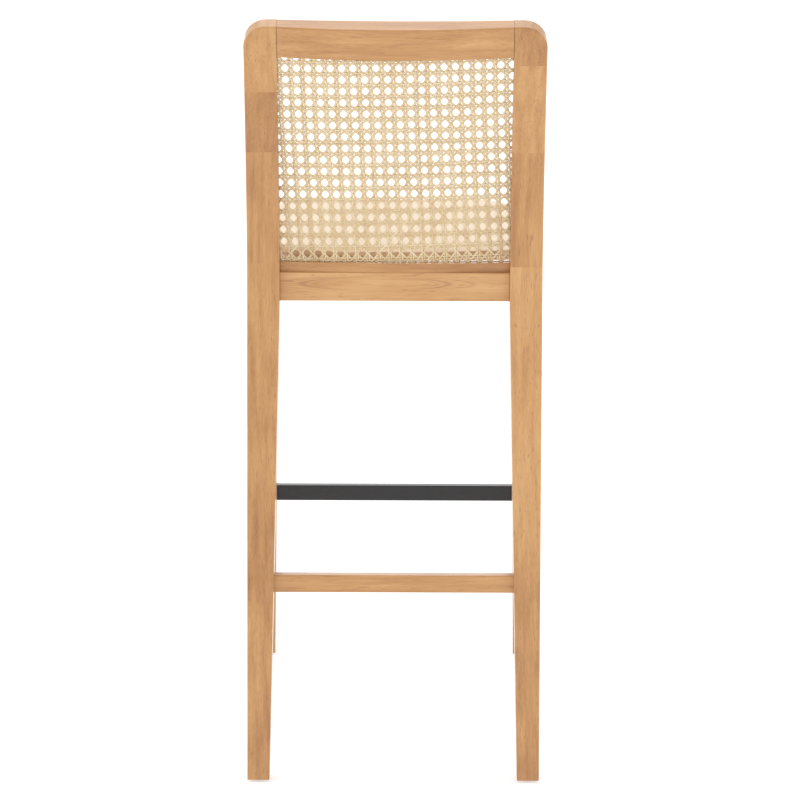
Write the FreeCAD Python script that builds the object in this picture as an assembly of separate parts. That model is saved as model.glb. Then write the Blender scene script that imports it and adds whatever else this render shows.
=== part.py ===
import FreeCAD, Part
import math
import os

# Bar stool with a curved cane back, an upholstered drop-in seat and a steel footrest bar.
# Frame: +Z up, floor at z = 0, the sitter faces -Y, the sitter's left hand is +X. Millimetres.

V = FreeCAD.Vector
X_AXIS, Y_AXIS, Z_AXIS = V(1, 0, 0), V(0, 1, 0), V(0, 0, 1)
ORIGIN = V(0, 0, 0)

# ---------------------------------------------------------------- driving dimensions
overall_depth = 563.0        # heel of the rear legs to the front face of the front legs
rear_width = 418.0           # over the back posts, from the knee up
front_width = 448.0          # over the front legs
crest_height = 1101.0        # back edge of the crest above the floor

# rear leg and back post, one sawn piece
knee_height = 776.0          # where the back edge of the leg stands furthest forward
heel_kick = 75.0             # how far the heel stands behind the knee
crest_lean = 56.0            # how far the top stands behind the knee
rear_splay = 3.0             # how far each rear foot stands outside its post
knee_radius = 700.0
knee_turn = 6.5              # degrees of lean where the knee's arc ends
post_width = 46.0
post_top_depth = 27.0
knee_depth = 44.0
foot_width = 32.0            # square foot of every leg
front_knee_radius = 320.0
front_knee_turn = 10.0
seat_flat_drop = 50.0        # flat joint face runs this far below the seat rails
crest_corner_radius = 32.0
arris = 2.5                  # rounding of the outer edges of the frame
inner_arris = 0.8            # eased edges beside the back panel

# front leg
front_leg_top = 44.0         # square at the seat

# back rails
top_rail_height = 45.5
top_rail_thickness = 26.0
top_rail_bow = 10.5          # back face, at the middle
top_rail_front_bow = 4.0     # the sitter's side is flatter, so the middle is thickest
low_rail_height = 14.0
low_rail_thickness = 20.0
low_rail_setback = 17.0      # from the back face of the posts at the knee
low_rail_bow = 6.0

# seat frame
seat_frame_top = 741.0
seat_rail_height = 41.0
seat_rail_thickness = 22.0
rear_rail_setback = 10.0
rail_setback = 5.0           # side and front rails, behind the outer faces of the legs
block_leg = 74.0             # corner blocks, along each rail
block_screw_share = 0.28     # of the block's slope, from either end to a rail screw
seat_screw_share = 0.6       # of the way from the corner to the slope's middle
block_height = 15.0
block_gap = 1.0              # block bottom above the rail bottom

# stretchers and footrest
rear_stretcher_top = 305.0
rear_stretcher_height = 26.0
rear_stretcher_thickness = 15.0
rear_stretcher_setback = 8.0
side_stretcher_height = 25.0
side_stretcher_thickness = 18.0
side_stretcher_middle = 352.0
tenon_length = 18.0
tenon_shoulder = 4.0         # all round
footrest_top = 285.0
footrest_height = 25.0
footrest_depth = 13.0
footrest_wall = 1.5
footrest_corner = 1.5
footrest_socket = 6.0        # how far the tube is let into each leg
end_plug_length = 20.0
bolt_diameter = 6.0
bolt_head_diameter = 10.0
bolt_head_height = 4.0
bolt_reach = 14.0            # thread inside the end plug
bolt_recess_diameter = 14.0
washer_thickness = 1.2
wood_plug_length = 4.0

# cane panel and its reed splines
cane_thickness = 2.0
cane_tuck = 5.0              # how far the cane runs into its slots
cane_lip = 6.0               # back face of each rail to the middle of the cane
slot_depth = 7.0
slot_play = 0.9
reed_width = 2.2
reed_height = 5.0

# seat
panel_thickness = 12.0
seat_crown = 762.0
crown_rise = 7.0             # middle of the seat above its edge
cover_thickness = 1.2
dust_cover_thickness = 0.8
dust_cover_inset = 14.0
cover_fold = 26.0            # width of the fabric folded under the panel
seat_gap = 2.0               # between the seat and the frame
seat_rear_setback = 46.5     # rear edge of the seat in front of the knee's back face
seat_rear_radius = 40.0
seat_edge_radius = 11.0

# fasteners and glides
dowel_diameter = 8.0
dowel_length = 36.0
dowel_spacing = 21.0
small_dowel_diameter = 6.0
small_dowel_length = 26.0
screw_diameter = 4.0
screw_head_diameter = 7.6
screw_head_height = 2.6
screw_tip_length = 10.0
block_screw_length = 30.0
block_screw_recess = 5.0
seat_screw_length = 25.0
fit_gap = 0.1                # glue or slip clearance all round
hole_end_gap = 1.0
glide_height = 4.0
glide_diameter = 16.0
glide_rim = 2.0
nail_diameter = 2.4
nail_length = 18.0

# ---------------------------------------------------------------- places that follow
front_face = -overall_depth / 2
knee_y = overall_depth / 2 - heel_kick
post_inner = rear_width / 2 - post_width
leg_front_y = knee_y - knee_depth
seat_rail_bottom = seat_frame_top - seat_rail_height
seat_rail_middle = seat_frame_top - seat_rail_height / 2
low_rail_top = seat_frame_top + low_rail_height
block_top = seat_rail_bottom + block_gap + block_height
panel_bottom = block_top + dust_cover_thickness + cover_thickness
panel_top = panel_bottom + panel_thickness
BIG = 2000.0


# ---------------------------------------------------------------- geometry helpers
def turned(direction, degrees):
    """A direction in the YZ plane, turned towards +Y by the given angle."""
    a = math.radians(degrees)
    y = direction.y * math.cos(a) + direction.z * math.sin(a)
    z = -direction.y * math.sin(a) + direction.z * math.cos(a)
    return V(0, y, z)


def line(a, b):
    return Part.LineSegment(a, b).toShape()


def arc(a, middle, b):
    return Part.Arc(a, middle, b).toShape()


def tangent_arc_middle(start, heading, end):
    """The middle point of the arc that leaves start along heading and reaches end."""
    chord = end - start
    along = V(chord).normalize()
    half_cos = math.sqrt((1 + along.dot(heading)) / 2)
    bisector = V(along + heading).normalize()
    return start + bisector * (chord.Length / (2 * half_cos))


def tangent_point(centre, radius, point):
    """Where the line from a lower point touches the sitter's side of a circle, in the YZ plane."""
    to_centre = centre - point
    distance = to_centre.Length
    length = math.sqrt(distance ** 2 - radius ** 2)
    swing = math.degrees(math.asin(radius / distance))
    return point + turned(V(to_centre).normalize(), -swing) * length


def filled(edges):
    return Part.Face(Part.Wire(edges))


def polygon(points):
    return Part.Face(Part.makePolygon(list(points) + [points[0]]))


def biggest(shape):
    return max(shape.Solids, key=lambda s: s.Volume)


def bar(start, end, width, height, across, up):
    """A rectangular bar along start-end, centred on that line."""
    half_w, half_h = across * (width / 2), up * (height / 2)
    corners = [start - half_w - half_h, start + half_w - half_h,
               start + half_w + half_h, start - half_w + half_h]
    return polygon(corners).extrude(end - start)


def rounded(solid, radius, along):
    """Rounds the straight edges that run along a direction."""
    def is_long(edge):
        a, b = edge.Vertexes[0].Point, edge.Vertexes[-1].Point
        return (b - a).Length > 4 * radius and abs(V(b - a).normalize().dot(along)) > 0.99
    return solid.makeFillet(radius, [e for e in solid.Edges if is_long(e)])


def rod(diameter, start, end):
    return Part.makeCylinder(diameter / 2, (end - start).Length, start, end - start)


def screw(head, direction, length):
    """A countersunk wood screw with its head face at head."""
    r, rh, hh = screw_diameter / 2, screw_head_diameter / 2, screw_head_height
    tip = length - screw_tip_length
    points = [V(0, 0, 0), V(rh, 0, 0), V(r, 0, hh), V(r, 0, tip), V(0, 0, length), V(0, 0, 0)]
    body = Part.Face(Part.makePolygon(points)).revolve(ORIGIN, Z_AXIS, 360)
    body.Placement = FreeCAD.Placement(head, FreeCAD.Rotation(Z_AXIS, direction))
    return body


def screw_hole(head, direction, length, recess):
    """Room for a screw whose head sits recess below the surface."""
    shank = rod(screw_diameter + 2 * fit_gap, head, head + direction * (length + hole_end_gap))
    mouth = rod(screw_head_diameter + 4 * fit_gap, head - direction * recess,
                head + direction * (screw_head_height + fit_gap))
    return shank.fuse(mouth)


def mirrored(shape):
    return shape.mirror(ORIGIN, X_AXIS)


solids = {}


def both_sides(name, left_shape):
    solids[name + "_left"] = left_shape
    solids[name + "_right"] = mirrored(left_shape)


# ---------------------------------------------------------------- the crest's own directions
back_centre = V(0, knee_y + knee_radius, knee_height)
knee_end = back_centre - turned(Y_AXIS, knee_turn) * knee_radius
knee_end_heading = turned(Z_AXIS, knee_turn)
crest_back = V(0, knee_y + crest_lean, crest_height)
back_curve = arc(knee_end, tangent_arc_middle(knee_end, knee_end_heading, crest_back), crest_back)


def down_back_curve(distance):
    """The point on the post's back edge a distance below the crest."""
    centre = back_curve.Curve.Center
    turn = math.degrees(distance / back_curve.Curve.Radius)
    return centre + turned(crest_back - centre, -turn)


crest_up = V(crest_back - down_back_curve(top_rail_height)).normalize()
crest_forward = V(0, -crest_up.z, crest_up.y)


def on_crest(x, forward, up):
    """A point given by the crest's own directions, from the middle of its back edge."""
    return crest_back + X_AXIS * x + crest_forward * forward + crest_up * up


# ---------------------------------------------------------------- legs
def rear_leg_side():
    """Side outline of the rear leg and post, in the YZ plane."""
    heel = V(0, knee_y + heel_kick, glide_height)
    toe = heel - Y_AXIS * foot_width
    low_touch = tangent_point(back_centre, knee_radius, heel)
    knee = V(0, knee_y, knee_height)
    crest_front = on_crest(0, post_top_depth, 0)
    front_centre = V(0, leg_front_y + front_knee_radius, seat_frame_top + glide_height)
    front_high = front_centre - turned(Y_AXIS, front_knee_turn) * front_knee_radius
    front_high_start = V(0, leg_front_y, front_centre.z)
    front_middle = front_centre - turned(Y_AXIS, front_knee_turn / 2) * front_knee_radius
    front_heading = turned(Z_AXIS, front_knee_turn)
    low_centre = V(0, leg_front_y + front_knee_radius, seat_rail_bottom - seat_flat_drop)
    low_start = V(0, leg_front_y, low_centre.z)
    front_touch = tangent_point(low_centre, front_knee_radius, toe)
    low_heading = V(0, 0, -1)
    return filled([
        line(heel, low_touch),
        arc(low_touch, knee, knee_end),
        back_curve,
        line(crest_back, crest_front),
        arc(crest_front, tangent_arc_middle(front_high, front_heading, crest_front), front_high),
        arc(front_high, front_middle, front_high_start),
        line(front_high_start, low_start),
        arc(low_start, tangent_arc_middle(low_start, low_heading, front_touch), front_touch),
        line(front_touch, toe),
        line(toe, heel),
    ])


def rear_leg_inner(z):
    """X of the rear leg's inner face at a height below the seat rails."""
    foot_inner = rear_width / 2 + rear_splay - foot_width
    share = max(0.0, (seat_rail_bottom - z) / seat_rail_bottom)
    return post_inner + (foot_inner - post_inner) * share


def rear_leg_blank():
    outer = rear_width / 2
    front_view = polygon([
        V(rear_leg_inner(0), -BIG / 2, 0), V(outer + rear_splay, -BIG / 2, 0),
        V(outer, -BIG / 2, knee_height), V(outer, -BIG / 2, BIG),
        V(post_inner, -BIG / 2, BIG), V(post_inner, -BIG / 2, seat_rail_bottom),
    ]).extrude(Y_AXIS * BIG)
    leg = rear_leg_side().extrude(X_AXIS * 2 * outer).common(front_view)
    leg = leg.makeFillet(crest_corner_radius, [e for e in leg.Edges if is_crest_corner(e)])
    leg = leg.makeFillet(arris, [e for e in leg.Edges if is_outer_edge(e)])
    return leg.makeFillet(inner_arris, [e for e in leg.Edges if is_inner_edge(e)])


def is_crest_corner(edge):
    """The sawn blank's sharp corner at the top of the outer side."""
    a, b = edge.Vertexes[0].Point, edge.Vertexes[-1].Point
    return min(a.x, b.x) > rear_width / 2 - 1 and min(a.z, b.z) > crest_height - 1


def is_outer_edge(edge):
    """The long edges of the leg's outer side and of its top, on its front and back faces."""
    a, b = edge.Vertexes[0].Point, edge.Vertexes[-1].Point
    heading = V(b - a).normalize()
    if abs(heading.dot(crest_forward)) > 0.9 or max(a.z, b.z) < glide_height + 1:
        return False
    if abs(heading.x) > 0.9:
        return min(a.z, b.z) > crest_height - arris
    return min(a.x, b.x) > rear_width / 2 - crest_corner_radius - 1


def is_inner_edge(edge):
    """The long edges of the inner side, beside the back panel."""
    a, b = edge.Vertexes[0].Point, edge.Vertexes[-1].Point
    on_face = max(abs(a.x - post_inner), abs(b.x - post_inner)) < 0.01
    return on_face and abs(a.z - b.z) > post_width


def front_leg_back(z):
    """Y of the front leg's back face at a height."""
    share = z / seat_frame_top
    return front_face + foot_width + (front_leg_top - foot_width) * share


def front_leg_inner(z):
    return front_width / 2 - foot_width - (front_leg_top - foot_width) * z / seat_frame_top


def front_leg_blank():
    outer, low, high = front_width / 2, glide_height, seat_frame_top
    front_view = polygon([V(front_leg_inner(low), -BIG / 2, low), V(outer, -BIG / 2, low),
                          V(outer, -BIG / 2, high), V(front_leg_inner(high), -BIG / 2, high)])
    side_view = polygon([V(0, front_face, low), V(0, front_leg_back(low), low),
                         V(0, front_leg_back(high), high), V(0, front_face, high)])
    leg = side_view.extrude(X_AXIS * 2 * outer).common(front_view.extrude(Y_AXIS * BIG))
    upright = [e for e in leg.Edges if abs(e.Vertexes[0].Z - e.Vertexes[-1].Z) > 1]
    return leg.makeFillet(arris, upright)


rear_leg = rear_leg_blank()
front_leg = front_leg_blank()
rear_leg_whole, front_leg_whole = rear_leg.copy(), front_leg.copy()


# ---------------------------------------------------------------- back rails
def bowed(half, y_out, bow, at):
    """An arc across the stool: at(x, offset) gives its points."""
    return arc(at(-half, y_out), at(0, y_out + bow), at(half, y_out))


def bowed_slab(half, outer, inner, outer_bow, inner_bow, at, extrusion):
    """A curved slab between two bowed faces, extruded."""
    outer_arc = bowed(half, outer, outer_bow, at)
    inner_arc = bowed(half, inner, inner_bow, at)
    ends = [line(at(half, outer), at(half, inner)), line(at(-half, inner), at(-half, outer))]
    return filled([outer_arc, ends[0], inner_arc, ends[1]]).extrude(extrusion)


def crest_plan(up):
    """Points of the crest's plan, where offset counts backwards from its back edge."""
    return lambda x, offset: on_crest(x, -offset, up)


def low_plan(z):
    back = knee_y - low_rail_setback
    return lambda x, offset: V(x, back + offset, z)


slot_back = cane_thickness / 2 + slot_play
slot_front = cane_thickness / 2 + reed_width + slot_play

top_rail = bowed_slab(post_inner, 0, -top_rail_thickness, top_rail_bow, top_rail_front_bow,
                      crest_plan(-top_rail_height), crest_up * top_rail_height)
top_rail = top_rail.makeFillet(arris, [
    e for e in top_rail.Edges
    if abs(e.Vertexes[0].X - e.Vertexes[-1].X) > post_inner
    and (e.Vertexes[0].Point - crest_back).dot(crest_up) > -arris
])
top_slot = bowed_slab(post_inner, slot_back - cane_lip, -slot_front - cane_lip,
                      top_rail_bow, top_rail_bow,
                      crest_plan(-top_rail_height), crest_up * slot_depth)
top_rail = top_rail.cut(top_slot)

low_rail = bowed_slab(post_inner, 0, -low_rail_thickness, low_rail_bow, low_rail_bow,
                      low_plan(seat_frame_top), Z_AXIS * low_rail_height)
low_slot = bowed_slab(post_inner, slot_back - cane_lip, -slot_front - cane_lip,
                      low_rail_bow, low_rail_bow,
                      low_plan(low_rail_top - slot_depth), Z_AXIS * slot_depth)
low_rail = low_rail.cut(low_slot)

# ---------------------------------------------------------------- cane panel
cane_top = on_crest(0, cane_lip, cane_tuck - top_rail_height)
cane_bottom = V(0, knee_y - low_rail_setback - cane_lip, low_rail_top - cane_tuck)
cane_curve = arc(cane_top, tangent_arc_middle(cane_top, crest_up * -1, cane_bottom), cane_bottom)
cane_centre, cane_radius = cane_curve.Curve.Center, cane_curve.Curve.Radius
cane_run = cane_curve.Length


def out_along(point, distance):
    """The point moved off the cane's line, away from the sitter."""
    return point + V(cane_centre - point).normalize() * distance


def along_cane(distance):
    """The point of the cane's line a distance above its lower end."""
    turn = math.degrees(distance / cane_radius)
    return cane_centre + turned(cane_bottom - cane_centre, turn)


def cane_side_strip(back, front, low, high):
    """Side view of a strip along the cane's line, between two distances from its lower end."""
    middle = (low + high) / 2
    return filled([
        arc(out_along(along_cane(low), back), out_along(along_cane(middle), back),
            out_along(along_cane(high), back)),
        line(out_along(along_cane(high), back), out_along(along_cane(high), -front)),
        arc(out_along(along_cane(high), -front), out_along(along_cane(middle), -front),
            out_along(along_cane(low), -front)),
        line(out_along(along_cane(low), -front), out_along(along_cane(low), back)),
    ])


def cane_section(distance):
    """The closed outline of the cane sheet across the stool."""
    point = along_cane(distance)
    out = V(cane_centre - point).normalize()
    half = post_inner + cane_tuck
    bow = low_rail_bow + (top_rail_bow - low_rail_bow) * distance / cane_run

    def at(x, offset):
        return point + X_AXIS * x + out * offset
    back, front = cane_thickness / 2, -cane_thickness / 2
    return Part.Wire([
        bowed(half, back, bow, at),
        line(at(half, back), at(half, front)),
        bowed(half, front, bow, at).reversed(),
        line(at(-half, front), at(-half, back)),
    ])


cane_stations = 7
solids["cane_panel"] = Part.makeLoft(
    [cane_section(cane_run * i / (cane_stations - 1)) for i in range(cane_stations)], True, False)

slot_overrun = slot_depth - cane_tuck
post_slot = cane_side_strip(slot_back, slot_front, -slot_overrun, cane_run + slot_overrun)
post_slot.translate(X_AXIS * post_inner)
rear_leg = rear_leg.cut(post_slot.extrude(X_AXIS * slot_depth))

side_reed = cane_side_strip(-cane_thickness / 2 - fit_gap, cane_thickness / 2 + reed_width,
                            reed_height, cane_run - reed_height)
side_reed.translate(X_AXIS * (post_inner + slot_depth - reed_height - slot_play))
both_sides("cane_spline", side_reed.extrude(X_AXIS * reed_height))


def reed_in_rail(plan, rail_direction, bow):
    """The reed that wedges the cane into a curved rail's slot."""
    reed = bowed_slab(post_inner, -cane_lip - cane_thickness / 2 - fit_gap,
                      -cane_lip - cane_thickness / 2 - reed_width, bow, bow, plan,
                      rail_direction * reed_height)
    reach = post_inner - slot_depth
    return reed.common(Part.makeBox(2 * reach, BIG, BIG, V(-reach, -BIG / 2, 0)))


top_reed_up = slot_depth - reed_height - slot_play - top_rail_height
solids["cane_spline_top"] = reed_in_rail(crest_plan(top_reed_up), crest_up, top_rail_bow)
low_reed_z = low_rail_top - slot_depth + slot_play
solids["cane_spline_bottom"] = reed_in_rail(low_plan(low_reed_z), Z_AXIS, low_rail_bow)

# ---------------------------------------------------------------- seat rails
across_seat = V(0, knee_y - rear_rail_setback - seat_rail_thickness / 2, seat_rail_middle)
rear_rail = bar(across_seat - X_AXIS * post_inner, across_seat + X_AXIS * post_inner,
                seat_rail_thickness, seat_rail_height, Y_AXIS, Z_AXIS)
rear_rail = rounded(rear_rail, inner_arris, X_AXIS)

rail_half = seat_rail_thickness / 2
side_rail_rear = V(rear_width / 2 - rail_setback - rail_half, leg_front_y, seat_rail_middle)
side_rail_front = V(front_width / 2 - rail_setback - rail_half,
                    front_leg_back(seat_rail_middle), seat_rail_middle)
side_rail_run = V(side_rail_front - side_rail_rear).normalize()
side_rail_across = side_rail_run.cross(Z_AXIS)
side_rail = bar(side_rail_rear - side_rail_run * rail_setback,
                side_rail_front + side_rail_run * rail_half,
                seat_rail_thickness, seat_rail_height, side_rail_across, Z_AXIS)
side_rail = rounded(side_rail, inner_arris, side_rail_run)
side_rail = biggest(side_rail.cut(rear_leg_whole).cut(front_leg_whole))

front_rail_middle = V(0, front_face + rail_setback + rail_half, seat_rail_middle)
front_rail_reach = X_AXIS * (front_leg_inner(0) + rail_setback)
front_rail = bar(front_rail_middle - front_rail_reach, front_rail_middle + front_rail_reach,
                 seat_rail_thickness, seat_rail_height, Y_AXIS, Z_AXIS)
front_rail = rounded(front_rail, inner_arris, X_AXIS)
front_rail = biggest(front_rail.cut(front_leg_whole).cut(mirrored(front_leg_whole)))

# ---------------------------------------------------------------- stretchers
rear_leg_edges = rear_leg_side()


def rear_leg_back(z):
    """Y of the rear leg's back face at a height, and of its front face."""
    probe = line(V(0, -BIG, z), V(0, BIG, z)).common(rear_leg_edges)
    return probe.BoundBox.YMax, probe.BoundBox.YMin


def with_tenons(start, end, blank, width, height, across):
    """Adds a tenon at both ends of a trimmed bar, and gives the mortises that take them."""
    run = V(end - start).normalize()
    w, h = width - 2 * tenon_shoulder, height - 2 * tenon_shoulder
    tenon = bar(start - run * tenon_length, end + run * tenon_length, w, h, across, Z_AXIS)
    deeper = tenon_length + hole_end_gap
    mortise = bar(start - run * deeper, end + run * deeper,
                  w + 2 * fit_gap, h + 2 * fit_gap, across, Z_AXIS)
    return blank.fuse(tenon).removeSplitter(), mortise


stretcher_z = rear_stretcher_top - rear_stretcher_height / 2
stretcher_y = rear_leg_back(stretcher_z)[0] - rear_stretcher_setback - rear_stretcher_thickness / 2
stretcher_end = V(rear_leg_inner(stretcher_z), stretcher_y, stretcher_z)
stretcher_start = V(-stretcher_end.x, stretcher_end.y, stretcher_end.z)
rear_stretcher = bar(stretcher_start - X_AXIS * tenon_shoulder, stretcher_end + X_AXIS * tenon_shoulder,
                     rear_stretcher_thickness, rear_stretcher_height, Y_AXIS, Z_AXIS)
rear_stretcher = rounded(rear_stretcher, 2 * inner_arris, X_AXIS)
rear_stretcher = biggest(rear_stretcher.cut(rear_leg_whole).cut(mirrored(rear_leg_whole)))
rear_stretcher, rear_mortise = with_tenons(
    stretcher_start, stretcher_end, rear_stretcher,
    rear_stretcher_thickness, rear_stretcher_height, Y_AXIS)

side_z = side_stretcher_middle
side_start = V((rear_leg_inner(side_z) + rear_width / 2) / 2, rear_leg_back(side_z)[1], side_z)
side_end = V((front_leg_inner(side_z) + front_width / 2) / 2, front_leg_back(side_z), side_z)
side_run = V(side_end - side_start).normalize()
side_across = side_run.cross(Z_AXIS)
side_stretcher = bar(side_start - side_run * tenon_shoulder, side_end + side_run * tenon_shoulder,
                     side_stretcher_thickness, side_stretcher_height, side_across, Z_AXIS)
side_stretcher = rounded(side_stretcher, 2 * inner_arris, side_run)
side_stretcher = biggest(side_stretcher.cut(rear_leg_whole).cut(front_leg_whole))
side_stretcher, side_mortise = with_tenons(
    side_start, side_end, side_stretcher,
    side_stretcher_thickness, side_stretcher_height, side_across)

rear_leg = rear_leg.cut(rear_mortise).cut(side_mortise)
front_leg = front_leg.cut(side_mortise)

# ---------------------------------------------------------------- footrest
bar_z = footrest_top - footrest_height / 2
bar_y = (front_face + front_leg_back(bar_z)) / 2
bar_end = front_leg_inner(bar_z) + footrest_socket
bar_axis_end = V(bar_end, bar_y, bar_z)


def footrest_block(shrink, half_length):
    """The footrest's outer shape, shrunk all round."""
    block = bar(V(-half_length, bar_y, bar_z), V(half_length, bar_y, bar_z),
                footrest_depth - 2 * shrink, footrest_height - 2 * shrink, Y_AXIS, Z_AXIS)
    return rounded(block, max(footrest_corner - shrink, fit_gap), X_AXIS)


solids["footrest_bar"] = footrest_block(0, bar_end).cut(footrest_block(footrest_wall, bar_end))
socket = footrest_block(-fit_gap, bar_end + fit_gap)
front_leg = front_leg.cut(socket)

plug_inner = V(bar_end - end_plug_length, bar_y, bar_z)
end_plug = footrest_block(footrest_wall + fit_gap, bar_end).common(
    Part.makeBox(end_plug_length, overall_depth, crest_height, V(plug_inner.x, front_face, 0)))
bolt_head_x = front_width / 2 - wood_plug_length - fit_gap - bolt_head_height
bolt_axis = V(0, bar_y, bar_z)
thread_end = bolt_axis + X_AXIS * (bar_end - bolt_reach)
head_face = bolt_axis + X_AXIS * bolt_head_x
washer_face = head_face - X_AXIS * washer_thickness
head_top = head_face + X_AXIS * bolt_head_height
outside = bolt_axis + X_AXIS * (front_width / 2)
bolt_room = bolt_diameter + 2 * fit_gap
end_plug = end_plug.cut(rod(bolt_room, plug_inner, bar_axis_end))
bolt = rod(bolt_diameter, thread_end, head_face).fuse(rod(bolt_head_diameter, head_face, head_top))
socket_bore = rod(bolt_diameter / 2, head_top - X_AXIS * bolt_head_height / 2, outside)
bolt = bolt.cut(socket_bore).removeSplitter()
washer = rod(bolt_recess_diameter - 1, washer_face, head_face).cut(
    rod(bolt_room, washer_face, head_face))
wood_plug = rod(bolt_recess_diameter, outside - X_AXIS * wood_plug_length, outside)
front_leg = front_leg.cut(rod(bolt_room, bar_axis_end, outside))
front_leg = front_leg.cut(rod(bolt_recess_diameter + fit_gap, washer_face, outside))
solids["footrest_end_plugs"] = Part.makeCompound([end_plug, mirrored(end_plug)])
solids["footrest_bolts"] = Part.makeCompound([bolt, mirrored(bolt)])
solids["footrest_washers"] = Part.makeCompound([washer, mirrored(washer)])
both_sides("bolt_plug", wood_plug)

# ---------------------------------------------------------------- dowels
rail_dowels = []


def pinned(leg, rail, at, run, diameter, length, heights):
    """Bores a leg and a rail for dowels across their joint; returns both and the dowels."""
    pins = []
    for z in heights:
        middle = V(at.x, at.y, z)
        reach = run * (length / 2)
        pins.append(rod(diameter, middle - reach, middle + reach))
        reach = run * (length / 2 + hole_end_gap)
        hole = rod(diameter + 2 * fit_gap, middle - reach, middle + reach)
        leg, rail = leg.cut(hole), rail.cut(hole)
    return leg, rail, pins


rail_heights = [seat_rail_middle - dowel_spacing / 2, seat_rail_middle + dowel_spacing / 2]
dowel_size = (dowel_diameter, dowel_length)

joint = across_seat + X_AXIS * post_inner
rear_leg, rear_rail, pins = pinned(rear_leg, rear_rail, joint, X_AXIS, *dowel_size, rail_heights)
rail_dowels += pins
rear_rail = rear_rail.common(mirrored(rear_rail))

rear_leg, side_rail, pins = pinned(rear_leg, side_rail, side_rail_rear, side_rail_run,
                                   *dowel_size, rail_heights)
rail_dowels += pins
front_leg, side_rail, pins = pinned(front_leg, side_rail, side_rail_front, side_rail_run,
                                    *dowel_size, rail_heights)
rail_dowels += pins

joint = front_rail_middle + X_AXIS * front_leg_inner(seat_rail_middle)
front_leg, front_rail, pins = pinned(front_leg, front_rail, joint, X_AXIS, *dowel_size, rail_heights)
rail_dowels += pins
front_rail = front_rail.common(mirrored(front_rail))
solids["seat_rail_dowels"] = Part.makeCompound(rail_dowels + [mirrored(p) for p in rail_dowels])

top_joint = on_crest(post_inner, (cane_lip + slot_front + top_rail_thickness) / 2,
                     -top_rail_height / 2)
top_pins = []
for side in (-1, 1):
    middle = top_joint + crest_up * (side * top_rail_height / 5)
    rear_leg, top_rail, pins = pinned(rear_leg, top_rail, middle, X_AXIS, *dowel_size, [middle.z])
    top_pins += pins
top_rail = top_rail.common(mirrored(top_rail))
solids["top_rail_dowels"] = Part.makeCompound(top_pins + [mirrored(p) for p in top_pins])

low_pin_y = knee_y - low_rail_setback - (cane_lip + slot_front + low_rail_thickness) / 2
low_joint = V(post_inner, low_pin_y, seat_frame_top + low_rail_height / 2)
rear_leg, low_rail, low_pins = pinned(rear_leg, low_rail, low_joint, X_AXIS, small_dowel_diameter,
                                      small_dowel_length, [low_joint.z])
low_rail = low_rail.common(mirrored(low_rail))
solids["low_rail_dowels"] = Part.makeCompound(low_pins + [mirrored(p) for p in low_pins])

# ---------------------------------------------------------------- seat
seat_rear_y = knee_y - seat_rear_setback
seat_front_y = front_face + rail_setback + seat_rail_thickness + seat_gap


def rail_inner_x(y):
    """X of the side rail's inner face."""
    slope = (side_rail_front.x - side_rail_rear.x) / (side_rail_front.y - side_rail_rear.y)
    return side_rail_rear.x + slope * (y - side_rail_rear.y) - rail_half / abs(side_rail_run.y)


leg_intrusion = front_leg_top - rail_setback - seat_rail_thickness
seat_front_radius = (math.sqrt(2) * leg_intrusion + seat_gap) / (math.sqrt(2) - 1)


def seat_outline(inset, z):
    """A face with the seat's plan, inset all round, with rounded corners."""
    rear_x = rail_inner_x(seat_rear_y) - seat_gap
    front_x = rail_inner_x(seat_front_y) - seat_gap
    plan = polygon([V(-rear_x, seat_rear_y, z), V(rear_x, seat_rear_y, z),
                    V(front_x, seat_front_y, z), V(-front_x, seat_front_y, z)])
    slab = plan.extrude(Z_AXIS)

    def corners(solid, y):
        return [e for e in solid.Edges if abs(e.Vertexes[0].Z - e.Vertexes[-1].Z) > 0.5
                and abs(e.Vertexes[0].Y - y) < 1]
    slab = slab.makeFillet(seat_rear_radius, corners(slab, seat_rear_y))
    slab = slab.makeFillet(seat_front_radius, corners(slab, seat_front_y))
    base = min(slab.Faces, key=lambda f: f.CenterOfMass.z)
    if inset == 0:
        return base
    return Part.Face(base.OuterWire.makeOffset2D(-inset))


def pad(inset, bottom, crown):
    """A crowned slab with rounded upper edges, inset from the seat's outline."""
    body = seat_outline(inset, bottom).extrude(Z_AXIS * (crown - bottom))
    half_span = (seat_rear_y - seat_front_y) / 2
    dome_radius = (half_span ** 2 + crown_rise ** 2) / (2 * crown_rise) + crown - seat_crown
    middle = V(0, (seat_rear_y + seat_front_y) / 2, crown - dome_radius)
    body = body.common(Part.makeSphere(dome_radius, middle))
    top = max(body.Faces, key=lambda f: f.CenterOfMass.z)
    return body.makeFillet(seat_edge_radius - inset, top.Edges)


foam_gap = cover_thickness + fit_gap
fold_bottom = panel_bottom - cover_thickness
cover = pad(0, fold_bottom, seat_crown)
hollow = pad(cover_thickness, panel_bottom, seat_crown - cover_thickness)
window = seat_outline(cover_fold, fold_bottom - 1).extrude(Z_AXIS * (panel_thickness))
solids["seat_cover"] = cover.cut(hollow).cut(window)
solids["seat_foam"] = pad(foam_gap, panel_top, seat_crown - foam_gap)
seat_panel = seat_outline(foam_gap, panel_bottom).extrude(Z_AXIS * panel_thickness)
solids["dust_cover"] = seat_outline(dust_cover_inset, block_top).extrude(
    Z_AXIS * dust_cover_thickness)

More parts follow.
